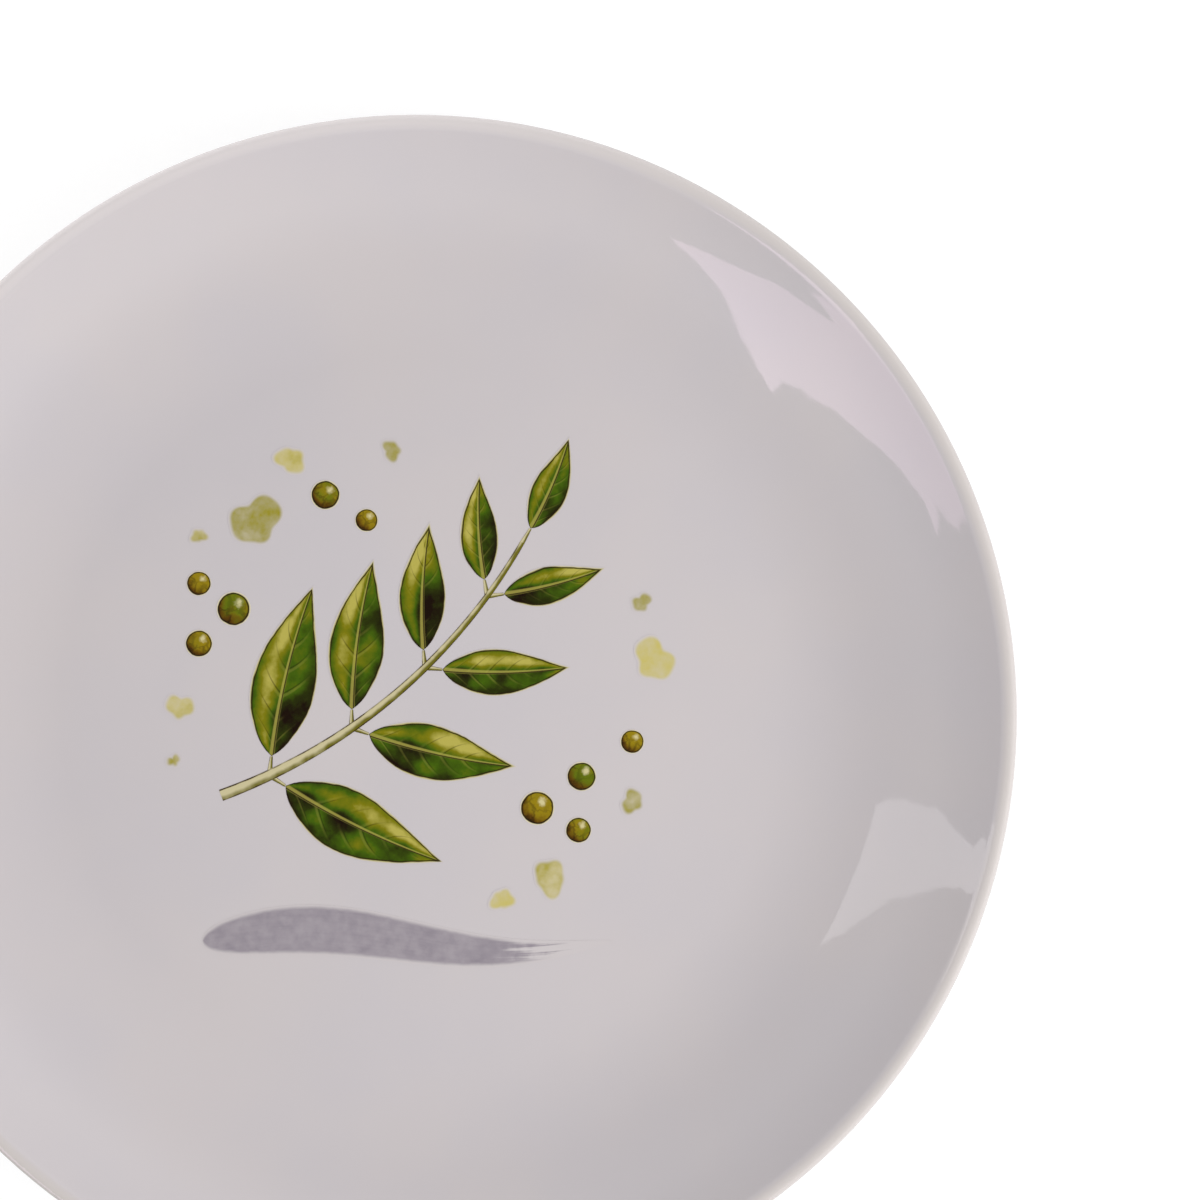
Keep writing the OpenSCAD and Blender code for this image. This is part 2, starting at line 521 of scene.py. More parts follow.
@dataclass(frozen=True)
class BiscuitFinish(Finish):
    """Bare fired porcelain of the foot: matt and gritty, greyed where it stands on the table."""

    name: str = "bare_porcelain"
    clay: Colour = srgb(228, 219, 210)
    warm: Colour = srgb(215, 203, 191)
    worn: Colour = srgb(180, 172, 165)
    grit_w: float = 0.00035
    speck_w: float = 0.0012
    patch_w: float = 0.006
    relief: float = 0.00004
    worn_h: float = 0.0004
    worn_cover: float = 0.6
    rough: float = 0.78
    rough_spread: float = 0.3

    def paint(self, sheet: NodeSheet) -> None:
        """Paints the bare foot.

        Args:
            sheet: The material's nodes.
        """
        place = sheet.place()
        height = sheet.part(place, Axis.UP)
        grit = sheet.noise(place, self.grit_w, 3.0)
        patches = sheet.noise(place, self.patch_w)
        specks = sheet.noise(place, self.speck_w, 3.0)
        colour = sheet.blend((0.7 * patches + 0.3 * grit).rise(0.35, 0.65), self.clay, self.warm)
        scuffs = height.fall(0.0, self.worn_h) * (0.5 * patches + specks).rise(0.7, 0.95)
        colour = sheet.blend(self.worn_cover * scuffs, colour, self.worn)
        sheet.finish(colour, self.rough + self.rough_spread * grit)
        sheet.emboss(grit, self.relief)


@dataclass(frozen=True)
class LeafFinish(Finish):
    """Leaf in soft greens: a shaded half and a lit one, side veins, and an ink line near its edge."""

    name: str
    seed: float
    ground: Colour
    shade: Colour = srgb(26, 11, 1)
    deep: Colour = srgb(42, 50, 2)
    green: Colour = srgb(68, 98, 4)
    fresh: Colour = srgb(129, 125, 8)
    pale: Colour = srgb(188, 178, 84)
    ink: Colour = srgb(32, 18, 3)
    stops: tuple[float, ...] = (0.0, 0.18, 0.42, 0.74, 1.0)
    pool_w: float = 0.006
    grain_w: float = 0.0007
    fold_w: float = 0.0016
    veins: float = 7.0
    rib_w: float = 0.00026
    rib_taper: float = 0.00018
    rib_ink: tuple[float, float] = (0.00004, 0.00017)
    inset: float = 0.00036
    inset_drift_w: float = 0.0045
    soft_w: float = 0.00002
    ink_w: float = 0.00012
    ink_drift_w: float = 0.0025

    def paint(self, sheet: NodeSheet) -> None:
        """Paints the leaf.

        Args:
            sheet: The material's nodes.
        """
        place = sheet.place()
        run, rib, edge = sheet.marks(Mark.RUN, Mark.RIB, Mark.EDGE)
        out = rib.size() / (rib.size() + edge + TINY)
        pools = sheet.noise(place, self.pool_w, 2.0, self.seed)
        grain = sheet.noise(place, self.grain_w, 3.0, self.seed)

        lit = rib.rise(-self.fold_w, self.fold_w)
        sheen = out.rise(0.05, 0.5) - out.rise(0.5, 1.0)
        tone = 0.26 * lit + 0.26 * sheen * lit + 0.14 * sheen + 0.36 * run.rise(0.0, 0.9)
        tone = tone + 1.5 * (pools - 0.5) + 0.22 * (grain - 0.5)
        shades = (self.shade, self.deep, self.green, self.fresh, self.pale)
        colour = sheet.ramp(tone, list(zip(self.stops, shades)))

        spread = (self.veins * run - 0.9 * out - 0.7 * out * out).fraction() - 0.5
        reach = out.fall(0.35, 0.9) * run.fall(0.75, 1.0) * pools.rise(0.35, 0.6)
        colour = sheet.blend(0.5 * reach * spread.size().fall(0.015, 0.06), colour, self.shade)
        colour = sheet.blend(0.16 * reach * (spread + 0.12).size().fall(0.02, 0.12), colour, self.pale)

        rib_w = self.rib_w - self.rib_taper * run
        colour = sheet.blend(0.6 * rib.size().fall(rib_w, 2.2 * rib_w), colour, self.pale)
        colour = sheet.blend(0.9 * (rib + rib_w).size().fall(*self.rib_ink), colour, self.ink)

        drift = sheet.noise(place, self.inset_drift_w, 2.0, self.seed + 5)
        bound = self.inset * (0.1 + 2.2 * drift) * run.rise(0.0, 0.2)
        halo = sheet.blend(edge.rise(0.0, self.soft_w + 0.9 * bound), self.ground, self.pale)
        colour = sheet.blend(edge.fall(0.6 * bound, self.soft_w + 1.2 * bound), colour, halo)
        weight = self.ink_w * (0.3 + 1.6 * sheet.noise(place, self.ink_drift_w, 2.0, self.seed + 9))
        line = (edge - bound).size().fall(0.3 * weight, 1.5 * weight)
        colour = sheet.blend(0.9 * line, colour, self.ink)
        sheet.finish_print(colour, grain)


@dataclass(frozen=True)
class StemFinish(Finish):
    """Stem in pale cream with olive shade, and a broken brown line along both its sides."""

    name: str = "stem_tint"
    cream: Colour = srgb(208, 198, 156)
    olive: Colour = srgb(112, 106, 28)
    ink: Colour = srgb(58, 40, 12)
    streak_w: float = 0.0025
    grain_w: float = 0.0008

    def paint(self, sheet: NodeSheet) -> None:
        """Paints the stem.

        Args:
            sheet: The material's nodes.
        """
        place = sheet.place()
        run, rib, edge = sheet.marks(Mark.RUN, Mark.RIB, Mark.EDGE)
        half = rib.size() + edge
        streaks = sheet.noise(place, self.streak_w)
        grain = sheet.noise(place, self.grain_w, 3.0)
        shade = (rib / (half + TINY)).fall(-0.7, 0.5) + 1.4 * (streaks - 0.5) + 0.8 * run - 0.35
        colour = sheet.blend(shade.rise(0.0, 1.0), self.cream, self.olive)
        line = edge.fall(0.12 * half, (0.1 + 0.4 * streaks) * half)
        colour = sheet.blend(line * (0.35 + 0.65 * streaks.rise(0.35, 0.6)), colour, self.ink)
        sheet.finish_print(colour, grain)


@dataclass(frozen=True)
class PeppercornFinish(Finish):
    """Peppercorns shaded as small wrinkled balls in gold, olive and brown, with a cream light."""

    ground: Colour
    name: str = "peppercorn_tint"
    shade: Colour = srgb(30, 16, 2)
    brown: Colour = srgb(98, 66, 4)
    gold: Colour = srgb(152, 130, 14)
    green: Colour = srgb(100, 114, 10)
    cream: Colour = srgb(226, 216, 164)
    ink: Colour = srgb(36, 24, 5)
    bloom_w: float = 0.0016
    grain_w: float = 0.0006
    wrinkle_w: float = 0.0012
    wrinkled_r: float = 0.0014
    wrinkle_drift: float = 0.0012
    glint: tuple[float, float] = (0.3, 0.36)
    outline: float = 0.87

    def paint(self, sheet: NodeSheet) -> None:
        """Paints the peppercorns.

        Args:
            sheet: The material's nodes.
        """
        place = sheet.place()
        east, north, hue = sheet.marks(Mark.EAST, Mark.NORTH, Mark.HUE)
        reach = (east * east + north * north).root()
        dome = (1.0 - reach * reach).root()
        blooms = sheet.noise(place, self.bloom_w)
        grain = sheet.noise(place, self.grain_w, 3.0)
        lit = 0.42 * east + 0.46 * north + 0.72 * dome + 0.9 * (blooms - 0.5) + 0.3 * (grain - 0.5)
        base = sheet.blend((hue + 1.2 * (blooms - 0.5)).rise(0.1, 0.9), self.gold, self.green)
        colour = sheet.blend(lit.rise(0.05, 0.7), self.brown, base)
        colour = sheet.blend(lit.fall(-0.35, 0.3), colour, self.shade)
        across_x = self.wrinkled_r * east + self.wrinkle_drift * blooms
        across_y = self.wrinkled_r * north + self.wrinkle_drift * grain
        folds = sheet.cells(sheet.spot(across_x, across_y, hue), self.wrinkle_w).fall(0.0, 0.14)
        colour = sheet.blend(0.45 * folds * lit.fall(0.5, 1.1), colour, self.shade)
        off_x, off_y = east - self.glint[0], north - self.glint[1]
        off_glint = (off_x * off_x + off_y * off_y).root()
        colour = sheet.blend(0.8 * (off_glint + 0.5 * (grain - 0.5)).fall(0.04, 0.36), colour, self.cream)
        bound = self.outline + 0.12 * (blooms - 0.5)
        halo = sheet.blend(reach.fall(0.9, 1.0), self.ground, self.cream)
        colour = sheet.blend(reach.rise(bound, 1.08 * bound), colour, halo)
        colour = sheet.blend(0.9 * (reach - bound).size().fall(0.02, 0.07), colour, self.ink)
        sheet.finish_print(colour, grain)


@dataclass(frozen=True)
class WashFinish(Finish):
    """Blots of thin yellow-green wash, clouded inside and lost at the edge."""

    ground: Colour
    name: str = "wash_tint"
    straw: Colour = srgb(204, 191, 112)
    moss: Colour = srgb(160, 150, 46)
    cloud_w: float = 0.0035
    grain_w: float = 0.0008
    fade_w: float = 0.0004
    fade_drift: float = 0.0009
    rough: float = 0.05
    rough_spread: float = 0.06

    def paint(self, sheet: NodeSheet) -> None:
        """Paints the wash.

        Args:
            sheet: The material's nodes.
        """
        place = sheet.place()
        edge, hue = sheet.marks(Mark.EDGE, Mark.HUE)
        clouds = sheet.noise(place, self.cloud_w, 3.0)
        grain = sheet.noise(place, self.grain_w, 3.0)
        colour = sheet.blend((hue + 1.4 * (clouds - 0.5)).rise(0.25, 1.0), self.straw, self.moss)
        cover = 0.84 + 1.1 * (clouds - 0.5) + 0.3 * (grain - 0.5)
        cover = cover * edge.rise(0.0, self.fade_w + self.fade_drift * clouds)
        rough = self.rough + self.rough_spread * grain
        sheet.finish(sheet.blend(cover, self.ground, colour), rough)


@dataclass(frozen=True)
class BrushFinish(Finish):
    """Mauve-grey stroke of a loaded brush, mottled, and dry and streaked towards its tail."""

    ground: Colour
    name: str = "stroke_tint"
    grey: Colour = srgb(168, 160, 167)
    dark: Colour = srgb(143, 135, 145)
    bristle_w: float = 0.00055
    streaks: float = 4.4
    mottle_w: float = 0.0016
    pool_w: float = 0.007
    fade_w: float = 0.0004
    fade_drift: float = 0.001
    rough: float = 0.06
    rough_spread: float = 0.06

    def paint(self, sheet: NodeSheet) -> None:
        """Paints the stroke.

        Args:
            sheet: The material's nodes.
        """
        place = sheet.place()
        run, rib, edge = sheet.marks(Mark.RUN, Mark.RIB, Mark.EDGE)
        bristles = sheet.noise(sheet.spot(self.streaks * run, rib / self.bristle_w), 1.0)
        mottle = sheet.noise(place, self.mottle_w, 4.0)
        pools = sheet.noise(place, self.pool_w)
        depth = 0.45 * mottle + 0.4 * pools + 0.15 * bristles
        colour = sheet.blend(depth.rise(0.32, 0.7), self.grey, self.dark)
        dry = run.rise(0.5, 1.0)
        cover = (bristles + 0.3 * (mottle - 0.5)).rise(0.8 * dry - 0.14, 0.8 * dry + 0.14)
        cover = cover * edge.rise(0.0, self.fade_w + self.fade_drift * mottle)
        rough = self.rough + self.rough_spread * mottle
        sheet.finish(sheet.blend(0.95 * cover, self.ground, colour), rough)


def round_edge(angle: float) -> float:
    """Share of a spot's radius at an angle, for a spot that is round."""
    return 1.0


def new_piece(name: str, points: Spots, faces: Sequence[Sequence[int]]) -> Piece:
    """Makes a mesh object and links it to the scene.

    Args:
        name: Name of the piece.
        points: Place of each point.
        faces: Points of each face, counter-clockwise from outside.

    Returns:
        The object.
    """
    mesh = bpy.data.meshes.new(name)
    mesh.from_pydata(points, [], faces)
    piece = bpy.data.objects.new(name, mesh)
    bpy.context.scene.collection.objects.link(piece)
    return piece


def keep_marks(piece: Piece, mark: Mark, values: Sequence[float]) -> None:
    """Keeps one value for each point of a piece, for its finish to read.

    Args:
        piece: The piece.
        mark: Name to keep the values under.
        values: Value of each point.
    """
    layer = piece.data.attributes.new(mark.value, "FLOAT", "POINT")
    layer.data.foreach_set("value", values)


def seat(piece: Piece, material: Material, node: str) -> None:
    """Gives a piece its finish and puts it in the place of its node in the frame.

    Args:
        piece: The piece.
        material: Its finish.
        node: Node that it stands for.
    """
    piece.data.materials.append(material)
    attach(piece, ROOT_BODY)
    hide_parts(node)
    log.info("%s stands for %s: %d faces", piece.name, node, len(piece.data.polygons))


class Patch:
    """A flat slab of fired colour, closed all round, with marks on its points."""

    def __init__(self, base_z: float, thickness: float) -> None:
        """Starts an empty slab on a plane.

        Args:
            base_z: Height of the plane that the colour is fired on.
            thickness: Thickness of the colour.
        """
        self.heights = {Level.TOP: base_z + thickness, Level.BASE: base_z}
        self.spots: list[Vector] = []
        self.marks: dict[Mark, list[float]] = {}
        self.cells: list[tuple[int, ...]] = []

    def add(self, at: Vector, marks: dict[Mark, float]) -> int:
        """Adds a point with its marks.

        Args:
            at: Place of the point on the plane.
            marks: Value of each mark there.

        Returns:
            The point's number.
        """
        self.spots.append(at)
        for mark, value in marks.items():
            self.marks.setdefault(mark, []).append(value)
        return len(self.spots) - 1

    def strip(self, rows: Sequence[Sequence[int]]) -> None:
        """Fills the cells between rows of points that run from right to left along the patch.

        Args:
            rows: Points of each row. A row of one point is a pointed end.
        """
        for near, far in zip(rows, rows[1:]):
            for k in range(max(len(near), len(far)) - 1):
                cell = [near[min(k, len(near) - 1)], far[min(k, len(far) - 1)]]
                cell += [far[min(k + 1, len(far) - 1)], near[min(k + 1, len(near) - 1)]]
                self.cells.append(tuple(dict.fromkeys(cell)))

    def rings(self, centre: int, rings: Sequence[Sequence[int]]) -> None:
        """Fills a round patch.

        Args:
            centre: Point at the middle.
            rings: Points of each ring, counter-clockwise, from the inmost ring out.
        """
        count = len(rings[0])
        for k in range(count):
            after = (k + 1) % count
            self.cells.append((centre, rings[0][k], rings[0][after]))
            for inner, outer in zip(rings, rings[1:]):
                self.cells.append((inner[k], outer[k], outer[after], inner[after]))

    def ribbon(self, rows: Iterable[tuple[Vector, Vector, float]], columns: int) -> None:
        """Draws a ribbon across rows, with marks of its run, its midrib and its edge.

        Args:
            rows: Right end, left end and share along the ribbon of each row. Ends that meet are a tip.
            columns: Number of cells across the ribbon.
        """
        drawn = []
        for right, left, run in rows:
            half = (left - right).length / 2
            shares = [2 * j / columns - 1 for j in range(columns + 1)] if half > TINY else [0.0]
            row = []
            for share in shares:
                marks = {Mark.RUN: run, Mark.RIB: share * half, Mark.EDGE: half * (1 - abs(share))}
                row.append(self.add(right.lerp(left, (1 + share) / 2), marks))
            drawn.append(row)
        self.strip(drawn)

    def spot(
        self, at: Vector, radius: float, hue: float, swell: Callable[[float], float] = round_edge,
        ring_count: int = 8, steps: int = 64,
    ) -> None:
        """Draws a spot, with marks of its own axes, its edge and its hue.

        Args:
            at: Middle of the spot.
            radius: Mean radius of the spot.
            hue: Share of the second of its two hues.
            swell: Share of that radius at an angle in radians.
            ring_count: Number of cells from the middle to the edge.
            steps: Number of cells round the spot.
        """
        centre = self.add(at, {Mark.EAST: 0.0, Mark.NORTH: 0.0, Mark.EDGE: radius, Mark.HUE: hue})
        drawn = []
        for ring in range(1, ring_count + 1):
            share = ring / ring_count
            row = []
            for k in range(steps):
                angle = math.tau * k / steps
                reach = radius * swell(angle)
                way = share * along(angle)
                marks = {Mark.EAST: way.x, Mark.NORTH: way.y, Mark.HUE: hue}
                marks[Mark.EDGE] = reach * (1 - share)
                row.append(self.add(at + reach * way, marks))
            drawn.append(row)
        self.rings(centre, drawn)

    def piece(self, name: str) -> Piece:
        """Closes the slab and makes its mesh.

        Args:
            name: Name of the piece.

        Returns:
            The object.
        """
        count = len(self.spots)
        points = [(at.x, at.y, z) for z in self.heights.values() for at in self.spots]
        faces = list(self.cells)
        faces += [tuple(count + k for k in reversed(cell)) for cell in self.cells]
        sides = {side for cell in self.cells for side in zip(cell, cell[1:] + cell[:1])}
        faces += [(count + a, count + b, b, a) for a, b in sorted(sides) if (b, a) not in sides]
        made = new_piece(name, points, faces)
        for mark, values in self.marks.items():
            keep_marks(made, mark, values * len(self.heights))
        return made


@dataclass(frozen=True)
class Dish:
    """Section of the plate and the glaze over it, in metres."""

    plate_r: float
    plate_h: float
    face_z: float
    under_z: float
    bare_z: float
    well_r: float = 0.061
    lip_t: float = 0.0022
    lip_ease: float = 0.0025
    glaze_t: float = 0.0003
    foot_r: float = 0.055
    foot_w: float = 0.0034
    foot_draft: float = math.radians(15)
    foot_fillet: float = 0.0012
    lip_fade: float = 0.0005
    foot_fade: float = 0.0011
    segments: int = 192
    flat_steps: int = 6
    wall_steps: int = 40
    ease_steps: int = 12
    lip_steps: int = 20
    fillet_steps: int = 8
    bead_steps: int = 6
    crease: float = math.radians(50)

    @classmethod
    def from_frame(cls) -> "Dish":
        """Takes the sizes that the frame's own boxes give.

        Returns:
            The section.
        """
        _, coat_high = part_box("glaze_coat")
        well_low, well_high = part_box("foot_well_glaze")
        print_low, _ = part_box("leaf_1")
        under_z = well_high.z - cls.glaze_t
        return cls(coat_high.x, coat_high.z, print_low.z, under_z, well_low.z)

    @property
    def lip_r(self) -> float:
        """Radius of the lip's round."""
        return self.lip_t / 2

    @property
    def lip_at(self) -> Vector:
        """Centre of the lip's round."""
        return Vector((self.plate_r - self.lip_r, self.plate_h - self.lip_r))

    @property
    def ease_at(self) -> Vector:
        """Centre of the softer round that eases the face over to the lip's crest."""
        return Vector((self.plate_r - self.lip_r, self.plate_h - self.lip_ease))

    @property
    def lean(self) -> float:
        """Width that the foot's draft takes up on its slanted side, per unit of cover."""
        return 1 / math.cos(self.foot_draft)

    @property
    def fillet_at(self) -> Vector:
        """Centre of the fillet outside the foot, measured from the middle of the foot."""
        z = self.under_z + self.glaze_t - self.foot_fillet
        return Vector((self.foot_half(z) + self.foot_fillet * self.lean, z))

    @property
    def bead_r(self) -> float:
        """Radius of the rounded edge where the glaze ends on the foot."""
        return self.glaze_t / 2

    @property
    def bead_z(self) -> float:
        """Height of the middle of that edge."""
        return self.bare_z + self.bead_r

    def foot_half(self, z: float) -> float:
        """Half width of the bare foot at a height."""
        return self.foot_w / 2 + z * math.tan(self.foot_draft)

    def wall_arc(self, flat_z: float, end: Vector, end_r: float) -> tuple[Vector, float]:
        """Finds the arc that leaves a flat at the edge of the centre and runs into a round of the lip.

        Args:
            flat_z: Height of the flat.
            end: Centre of the round.
            end_r: Radius of the round, below zero if the arc runs into it from underneath.

        Returns:
            Its centre and radius.
        """
        run = end.x - self.well_r
        rise = end.y - flat_z
        radius = (run**2 + rise**2 - end_r**2) / (2 * (rise + end_r))
        return Vector((self.well_r, flat_z + radius)), radius

    def face_arc(self) -> tuple[Vector, float]:
        """Centre and radius of the wall's face."""
        return self.wall_arc(self.face_z, self.ease_at, self.lip_ease)

    def under_arc(self) -> tuple[Vector, float]:
        """Centre and radius of the wall's underside."""
        return self.wall_arc(self.under_z, self.lip_at, -self.lip_r)

    def wall_point(self, turn: float, radius: float) -> tuple[Vector, Vector]:
        """Finds a point on the face of the curved wall.

        Args:
            turn: Angle round the plate, in radians.
            radius: Distance from the plate's axis.

        Returns:
            The point, and the direction that the face looks in there.
        """
        middle, bend = self.face_arc()
        slope = math.asin((radius - middle.x) / bend)
        flat = radius * along(turn)
        at = Vector((flat.x, flat.y, middle.y - bend * math.cos(slope)))
        return at, toward(turn + math.pi, math.pi / 2 - slope)

    def skin(self, depth: float) -> list[Vector]:
        """Draws the face, the lip and the underside at a depth under the glazed surface.

        Args:
            depth: Depth of the skin.

        Returns:
            Points from the middle of the face round the lip to the edge of the flat underside.
        """
        face_at, face_r = self.face_arc()
        under_at, under_r = self.under_arc()
        face_way = self.ease_at - face_at
        under_way = self.lip_at - under_at
        face_end = math.atan2(face_way.y, face_way.x)
        under_end = math.atan2(under_way.y, under_way.x)
        up, down = math.pi / 2, -math.pi / 2
        steps = (k / self.flat_steps for k in range(self.flat_steps))
        flat = [Vector((self.well_r * share, self.face_z - depth)) for share in steps]
        face = arc(face_at, face_r + depth, down, face_end, self.wall_steps)
        ease = arc(self.ease_at, self.lip_ease - depth, face_end + math.pi, up, self.ease_steps)
        lip = arc(self.lip_at, self.lip_r - depth, up, under_end, self.lip_steps)
        under = arc(under_at, under_r - depth, under_end, down, self.wall_steps)
        return flat + face[:-1] + ease[:-1] + lip + under[1:]

    def on_foot(self, points: Sequence[Vector], side: FootSide) -> list[Vector]:
        """Points measured from the middle of the foot, set on one side of it."""
        return [Vector((self.foot_r + side.value * at.x, at.y)) for at in points]

    def foot_skin(self, cover: float, side: FootSide) -> list[Vector]:
        """Draws one side of the foot under its cover of glaze, from the fillet down to the bare band.

        Args:
            cover: Thickness of what covers the bare foot.
            side: Side of the foot.

        Returns:
            Points from the flat underside down.
        """
        start, end = math.pi / 2, math.pi - self.foot_draft
        fillet = arc(self.fillet_at, self.foot_fillet - cover, start, end, self.fillet_steps)
        tip = Vector((self.foot_half(self.bead_z) + cover * self.lean, self.bead_z))
        return self.on_foot(fillet + [tip], side)

    def bead(self, side: FootSide) -> list[Vector]:
        """Draws the rounded edge where the glaze ends on the foot, without its two ends.

        Args:
            side: Side of the foot.

        Returns:
            Points from the glazed side to the bare one.
        """
        middle = Vector((self.foot_half(self.bead_z) + self.bead_r * self.lean, self.bead_z))
        turn = arc(middle, self.bead_r, 0.0, -math.pi, self.bead_steps)
        return self.on_foot(turn[1:-1], side)

    def thinness(self, at: Vector) -> float:
        """Share to which the glaze has drawn thin, over the lip and at its lower edge.

        Args:
            at: Point of the section.

        Returns:
            0 where the glaze has its whole thickness, 1 where it is thinnest.
        """
        if at.y < self.under_z:
            return max(0.0, min(1.0, 1 - (at.y - self.bare_z) / self.foot_fade))
        off_lip = max(0.0, (at - self.lip_at).length - self.lip_r)
        return max(0.0, 1 - off_lip / self.lip_fade)

    def turned(self, name: str, outline: Sequence[Vector]) -> Piece:
        """Turns an outline round the plate's axis.

        Args:
            name: Name of the piece.
            outline: Points from the axis round to the axis again, with the solid on their right.

        Returns:
            The object.
        """
        points: list[tuple[float, float, float]] = []
        rows: list[list[int]] = []
        marks: list[float] = []
        for at in outline:
            steps = self.segments if at.x > TINY else 1
            rows.append(list(range(len(points), len(points) + steps)))
            turns = (math.tau * k / self.segments for k in range(steps))
            points += [(at.x * math.cos(a), at.x * math.sin(a), at.y) for a in turns]
            marks += [self.thinness(at)] * steps
        faces = []
        for near, far in zip(rows, rows[1:]):
            for k in range(self.segments):
                after = (k + 1) % self.segments
                cell = [near[k % len(near)], far[k % len(far)]]
                cell += [far[after % len(far)], near[after % len(near)]]
                faces.append(tuple(dict.fromkeys(cell)))
        made = new_piece(name, points, faces)
        keep_marks(made, Mark.THIN_AND_PAINTED_LIGHT, marks)
        made.data.shade_smooth()
        made.data.set_sharp_from_angle(angle=self.crease)
        return made

    def build(self, glaze: Material, biscuit: Material, body: Piece) -> None:
        """Makes both skins of glaze and dresses the bare body.

        Args:
            glaze: Finish of the glaze.
            biscuit: Finish of the bare porcelain.
            body: The frame's own porcelain body.
        """
        shown = self.skin(0.0) + self.foot_skin(self.glaze_t, FootSide.OUTER) + self.bead(FootSide.OUTER)
        hidden = self.skin(self.glaze_t) + self.foot_skin(0.0, FootSide.OUTER)
        coat = self.turned("glaze_skin", shown + hidden[::-1])
        seat(coat, glaze, "glaze_coat")

        shown = self.foot_skin(self.glaze_t, FootSide.INNER) + self.bead(FootSide.INNER)
        shown.insert(0, Vector((0.0, self.under_z)))
        hidden = self.foot_skin(0.0, FootSide.INNER)
        hidden.insert(0, Vector((0.0, self.under_z + self.glaze_t)))
        well = self.turned("foot_well_skin", hidden + shown[::-1])
        seat(well, glaze, "foot_well_glaze")

        for held in body.material_slots:
            held.material = biscuit
        log.info("%s is kept, with its bare foot showing", body.name)


@dataclass(frozen=True)
class Ground:
    """The flat of the plate that the print is fired on."""

    base_z: float
    thickness: float
    circle_r: float = 0.054

    @classmethod
    def from_frame(cls) -> "Ground":
        """Plane and thickness of the print in the frame."""
        low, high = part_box("leaf_1")
        return cls(low.z, high.z - low.z)

    def at(self, x: float, y: float) -> Vector:
        """Place given in shares of the print's circle."""
        return self.circle_r * Vector((x, y))

    def patch(self) -> Patch:
        """Empty patch of colour on the flat."""
        return Patch(self.base_z, self.thickness)


@dataclass(frozen=True)
class Leaf:
    """One leaf of the sprig, drawn along a midrib that bends."""

    number: int
    station: float
    foot: Vector
    direction: float
    bend: float
    length: float
    width: float
    swell: float = 0.8
    taper: float = 0.18
    steps: int = 36
    columns: int = 12

    def half(self, run: float) -> float:
        """Half width at a share of the way from the foot to the tip."""
        return self.width / 2 * max(0.0, math.sin(math.pi * run**self.swell)) * (1 - self.taper * run)

    def at(self, run: float, share: float) -> Vector:
        """Finds a point of the leaf.

        Args:
            run: Share of the way from the foot to the tip.
            share: Share of the half width, from -1 on the right edge to 1 on the left one.

        Returns:
            The point.
        """
        rib = self.foot + self.length * run * along(self.direction + self.bend * run / 2)
        return rib + share * self.half(run) * across(self.direction + self.bend * run)

    def build(self, patch: Patch) -> Piece:
        """Makes the leaf's mesh.

        Args:
            patch: Empty patch to draw it on.

        Returns:
            The object.
        """
        runs = (k / self.steps for k in range(self.steps + 1))
        patch.ribbon(((self.at(run, -1), self.at(run, 1), run) for run in runs), self.columns)
        return patch.piece(f"leaf_{self.number}_print")


